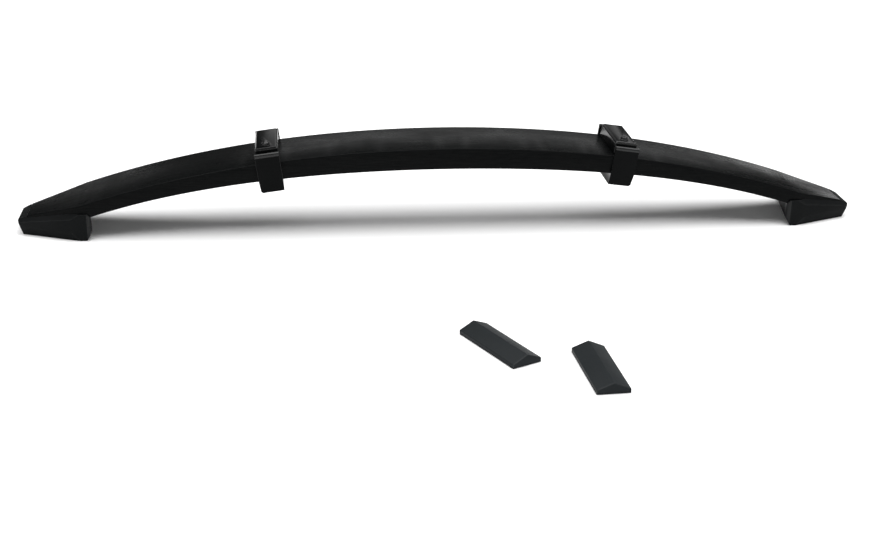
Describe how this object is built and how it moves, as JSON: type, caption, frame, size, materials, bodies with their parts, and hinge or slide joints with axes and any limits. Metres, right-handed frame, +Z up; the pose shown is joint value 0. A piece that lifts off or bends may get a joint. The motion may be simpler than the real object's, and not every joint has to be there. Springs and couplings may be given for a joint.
{
  "type": "transverse leaf spring",
  "caption": "Arched single-leaf composite spring with clasping rubber mounts, rubber end shoes and loose wedge pads.",
  "frame": {"origin": "centre of the kit's footprint on the ground, midway between the two end shoes along X; the blade's centre line runs at y = +0.2545", "axes": "+X along the blade towards its right end as seen from the loose pads, +Y away from the loose pads, +Z up from the ground that the shoes stand on"},
  "size_m": [1.204, 0.627, 0.1328],
  "materials": {
    "composite": "black satin paint over unidirectional glass fibre and epoxy",
    "mount_rubber": "moulded, slightly glossy",
    "shoe_rubber": "moulded, satin",
    "loose_rubber": "moulded, matt dark slate",
    "insert_steel": "phosphated sheet, bonded inside the rubber"
  },
  "bodies": {
    "root": {"composite_blade": "composite", "left_upper_pad": "mount_rubber", "left_upper_plate": "insert_steel", "left_saddle": "mount_rubber", "left_saddle_plate": "insert_steel", "right_upper_pad": "mount_rubber", "right_upper_plate": "insert_steel", "right_saddle": "mount_rubber", "right_saddle_plate": "insert_steel"},
    "left_end": {"left_end_shoe": "shoe_rubber", "left_sole_plate": "insert_steel"},
    "right_end": {"right_end_shoe": "shoe_rubber", "right_sole_plate": "insert_steel"},
    "left_loose": {"left_loose_pad": "loose_rubber"},
    "right_loose": {"right_loose_pad": "loose_rubber"}
  },
  "joints": [
    {"name": "left_arm_flex", "type": "hinge", "parent": "root", "child": "left_end", "pos_m": [-0.36, 0.2545, 0.07849], "axis": [0, 1, 0], "range_deg": [0, 20], "stiffness_Nm_per_rad": 7200, "deforming": ["composite_blade"]},
    {"name": "right_arm_flex", "type": "hinge", "parent": "root", "child": "right_end", "pos_m": [0.36, 0.2545, 0.07849], "axis": [0, -1, 0], "range_deg": [0, 20], "stiffness_Nm_per_rad": 7200, "deforming": ["composite_blade"]},
    {"name": "left_pad_lift", "type": "slide", "parent": "root", "child": "left_loose", "axis": [0, 0, 1], "range_m": [0, 0.1]},
    {"name": "right_pad_lift", "type": "slide", "parent": "root", "child": "right_loose", "axis": [0, 0, 1], "range_m": [0, 0.1]}
  ]
}
